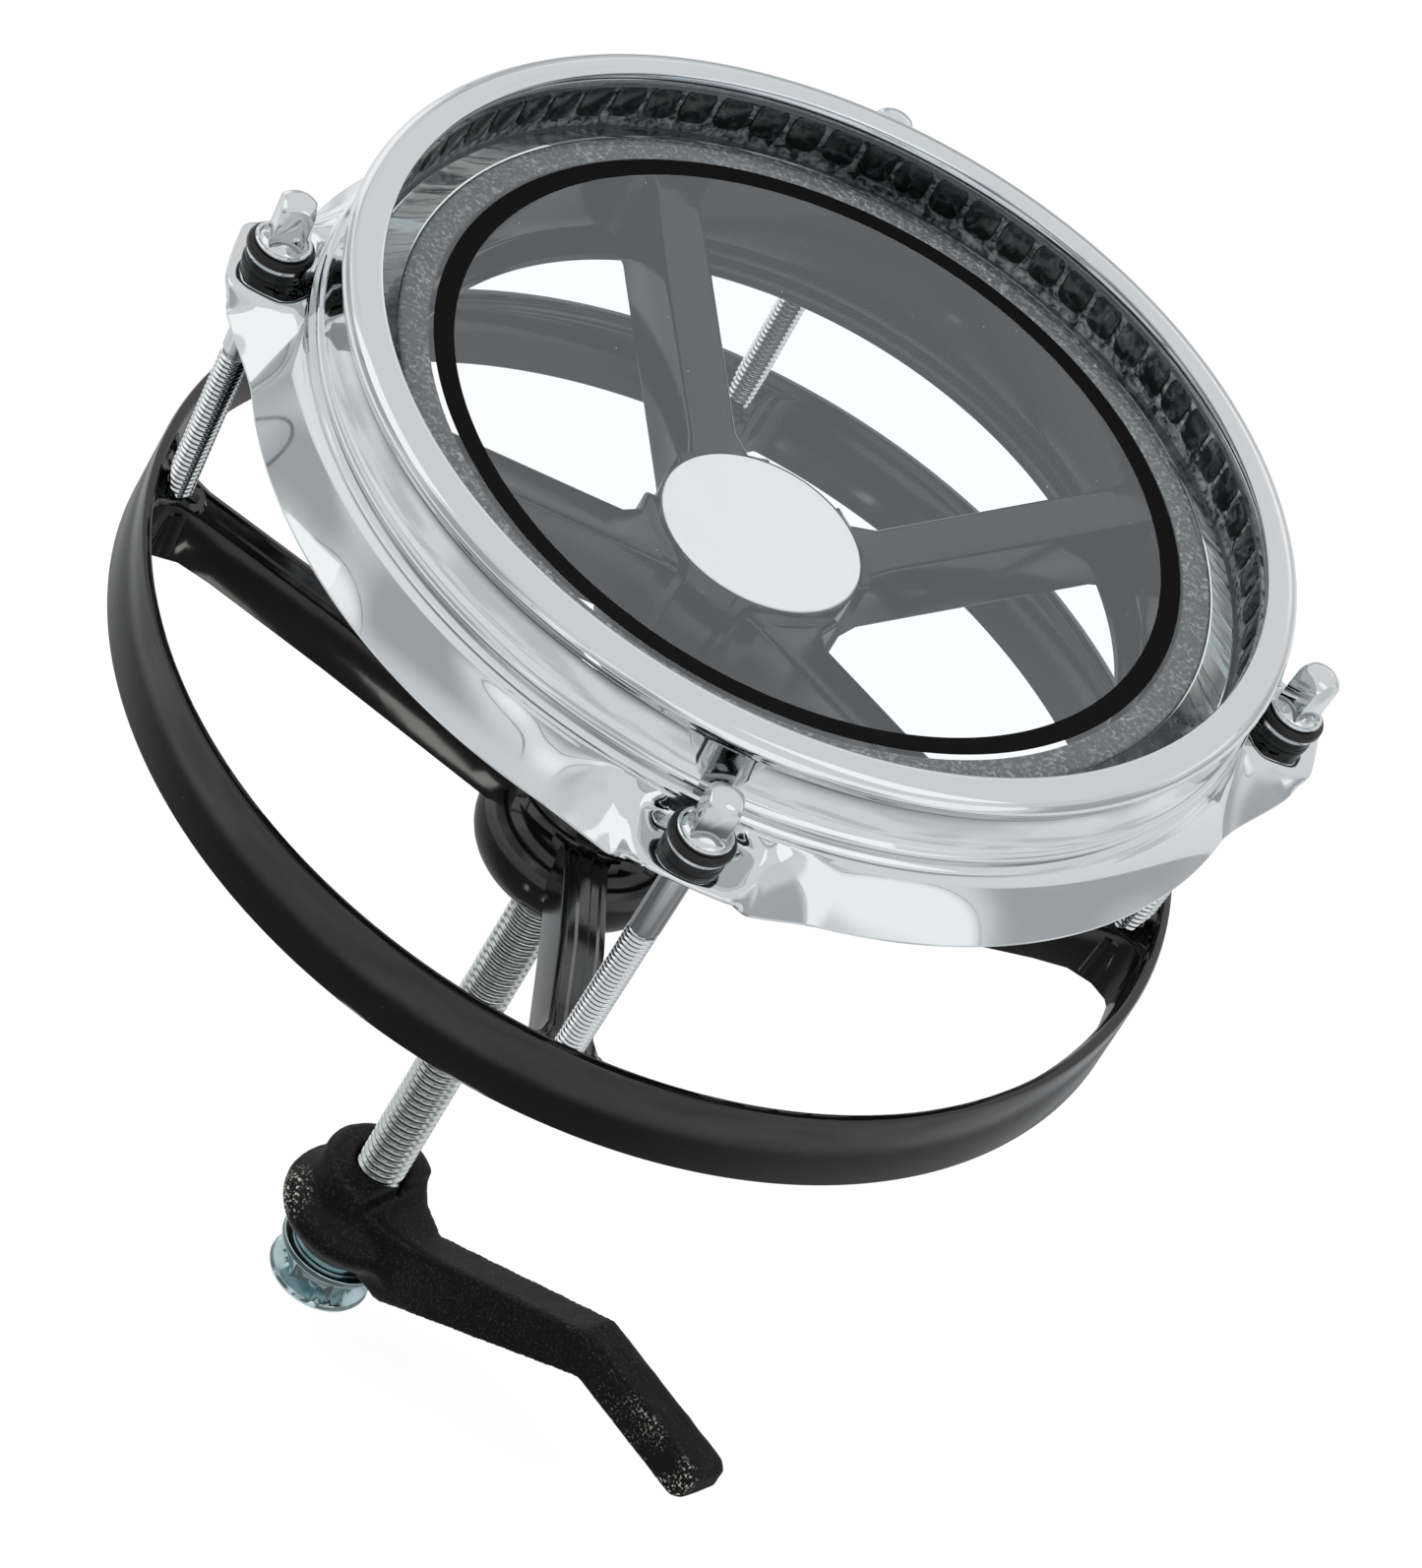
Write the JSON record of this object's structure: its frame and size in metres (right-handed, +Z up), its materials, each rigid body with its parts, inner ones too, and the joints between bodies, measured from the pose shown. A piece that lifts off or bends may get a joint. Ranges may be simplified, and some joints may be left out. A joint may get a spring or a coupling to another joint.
{
  "type": "tunable frame drum",
  "caption": "Small frame drum with a clear head and a cast hoop, tuned by turning it on a threaded spindle held by an offset mounting arm.",
  "frame": {"origin": "centre of the flat end of the spindle, at its foot", "axes": "+Z up the spindle towards the playing film, +X along the arm's prong"},
  "size_m": [0.197, 0.197, 0.2343],
  "materials": {
    "chrome": "polished chrome plate on die-cast zinc and steel",
    "zinc_plate": "clear zinc-plated steel with rolled threads",
    "blue_zinc": "blue-passivated zinc plate",
    "gloss_black": "gloss black enamel on die-cast aluminium",
    "cast_black": "satin black paint on rough sand-cast iron",
    "film": "clear polyester film, glossy",
    "aluminium": "rolled aluminium channel",
    "resin": "dark cast resin",
    "badge": "plain off-white printed disc",
    "nylon": "satin black nylon",
    "bush_black": "gloss black moulded bush",
    "bronze": "sintered bronze",
    "acetal": "natural acetal"
  },
  "bodies": {
    "mount": {"spindle": "zinc_plate", "mount_arm": "cast_black", "lock_washer": "blue_zinc", "flat_washer": "blue_zinc", "lock_nut": "blue_zinc"},
    "bearing_frame": {"bearing_wheel": "gloss_black", "journal_bush": "bronze", "thrust_pad": "acetal", "hub_badge": "badge", "film": "film"},
    "tension_frame": {"film_collar": "film", "flesh_hoop": "aluminium", "resin_ring": "resin", "hoop": "chrome", "ear_bushes": "bush_black", "rod_washers": "nylon", "tension_wheel": "gloss_black"},
    "tuning_rod_1": {"rod_1": "chrome"},
    "tuning_rod_2": {"rod_2": "chrome"},
    "tuning_rod_3": {"rod_3": "chrome"},
    "tuning_rod_4": {"rod_4": "chrome"}
  },
  "joints": [
    {"name": "drum_turn", "type": "hinge", "parent": "mount", "child": "bearing_frame", "pos_m": [0, 0, 0.18], "axis": [0, 0, 1], "range_deg": [-300, 420]},
    {"name": "tension_travel", "type": "slide", "parent": "bearing_frame", "child": "tension_frame", "axis": [0, 0, 1], "range_m": [-0.0014, 0.0019], "deforming": ["film_collar"]},
    {"name": "rod_1_turn", "type": "hinge", "parent": "tension_frame", "child": "tuning_rod_1", "pos_m": [0.07323, 0.06254, 0.218], "axis": [0.0519, 0.0443, 0.9977], "range_deg": [-405, 405]},
    {"name": "rod_2_turn", "type": "hinge", "parent": "tension_frame", "child": "tuning_rod_2", "pos_m": [-0.06254, 0.07323, 0.218], "axis": [-0.0443, 0.0519, 0.9977], "range_deg": [-405, 405]},
    {"name": "rod_3_turn", "type": "hinge", "parent": "tension_frame", "child": "tuning_rod_3", "pos_m": [-0.07323, -0.06254, 0.218], "axis": [-0.0519, -0.0443, 0.9977], "range_deg": [-405, 405]},
    {"name": "rod_4_turn", "type": "hinge", "parent": "tension_frame", "child": "tuning_rod_4", "pos_m": [0.06254, -0.07323, 0.218], "axis": [0.0443, -0.0519, 0.9977], "range_deg": [-405, 405]}
  ],
  "couplings": [
    {"joint": "tension_travel", "follows": "drum_turn", "m_per_rad": 0.00025266}
  ]
}
